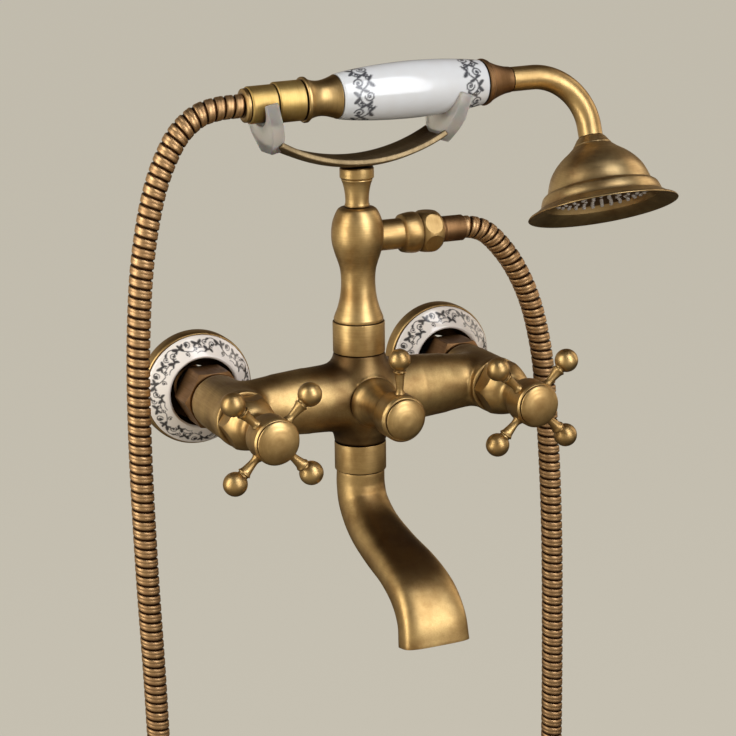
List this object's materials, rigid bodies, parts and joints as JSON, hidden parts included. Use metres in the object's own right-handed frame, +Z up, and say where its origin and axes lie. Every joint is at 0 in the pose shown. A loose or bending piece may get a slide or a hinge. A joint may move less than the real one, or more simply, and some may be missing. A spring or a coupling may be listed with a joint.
{
  "type": "wall mounted bath shower mixer",
  "caption": "Wall mounted bath and shower mixer in brushed antique brass with cross handles, swivel spout, cradle and porcelain telephone handset on a hose.",
  "frame": {"origin": "mid point between the two water inlets, on the face of the wall", "axes": "+X to the right along the wall, +Y into the wall, +Z up"},
  "size_m": [0.3085, 0.1722, 0.7216],
  "materials": {
    "brass": "brushed antique brass, clear lacquered",
    "dark_brass": "antique brass, darkened in the recesses",
    "hose_metal": "double interlocked spiral of brass coated steel",
    "steel": "turned stainless steel",
    "porcelain": "glazed white porcelain with grey scroll decoration",
    "clear_plastic": "frosted translucent moulding",
    "rubber": "moulded matt",
    "ceramic": "plain cartridge body"
  },
  "bodies": {
    "root": {"wall_union_left": "dark_brass", "union_nut_left": "dark_brass", "escutcheon_cup_left": "brass", "valve_bonnet_left": "brass", "porcelain_ring_left": "porcelain", "union_washer_left": "rubber", "valve_cartridge_left": "ceramic", "wall_union_right": "dark_brass", "union_nut_right": "dark_brass", "escutcheon_cup_right": "brass", "valve_bonnet_right": "brass", "porcelain_ring_right": "porcelain", "union_washer_right": "rubber", "valve_cartridge_right": "ceramic", "mixer_body": "brass", "diverter_bonnet": "brass", "riser_coupling": "brass", "riser_vase": "brass", "hose_nut_outlet": "brass", "finial_neck": "brass", "handset_cradle": "brass", "spout_coupling": "brass", "diverter_cartridge": "ceramic", "hose_ferrule_outlet": "dark_brass", "shower_hose": "hose_metal", "cradle_fork_left": "clear_plastic", "cradle_fork_right": "clear_plastic"},
    "hot_handle": {"valve_spindle_left": "steel", "handle_hub_left": "brass", "handle_screw_left": "steel", "handle_cap_left": "brass", "handle_spoke_left_1": "brass", "handle_spoke_left_2": "brass", "handle_spoke_left_3": "brass", "handle_spoke_left_4": "brass"},
    "cold_handle": {"valve_spindle_right": "steel", "handle_hub_right": "brass", "handle_screw_right": "steel", "handle_cap_right": "brass", "handle_spoke_right_1": "brass", "handle_spoke_right_2": "brass", "handle_spoke_right_3": "brass", "handle_spoke_right_4": "brass"},
    "diverter_handle": {"diverter_spindle": "steel", "diverter_hub": "brass", "diverter_lever": "brass", "diverter_cap": "brass"},
    "swivel_spout": {"spout": "brass", "spout_o_ring": "rubber", "flow_straightener": "dark_brass"},
    "handset": {"hose_ferrule_handset": "brass", "handset_hose_nut": "brass", "handset_sleeve": "brass", "handset_rear_ferrule": "brass", "porcelain_handle": "porcelain", "handset_inner_tube": "steel", "handset_front_cone": "dark_brass", "handset_neck": "brass", "shower_bell": "brass", "spray_face": "dark_brass"}
  },
  "joints": [
    {"name": "hot_handle_turn", "type": "hinge", "parent": "root", "child": "hot_handle", "pos_m": [-0.075, -0.1174, 0], "axis": [0, -1, 0], "range_deg": [0, 90]},
    {"name": "cold_handle_turn", "type": "hinge", "parent": "root", "child": "cold_handle", "pos_m": [0.075, -0.1174, 0], "axis": [0, 1, 0], "range_deg": [0, 90]},
    {"name": "diverter_turn", "type": "hinge", "parent": "root", "child": "diverter_handle", "pos_m": [0, -0.11, 0], "axis": [0, 1, 0], "range_deg": [0, 90]},
    {"name": "spout_swivel", "type": "hinge", "parent": "root", "child": "swivel_spout", "pos_m": [0, -0.059, -0.0423], "axis": [0, 0, 1], "range_deg": [-90, 90]},
    {"name": "handset_lift", "type": "slide", "parent": "root", "child": "handset", "axis": [0, 0, 1], "range_m": [0, 0.08]}
  ]
}
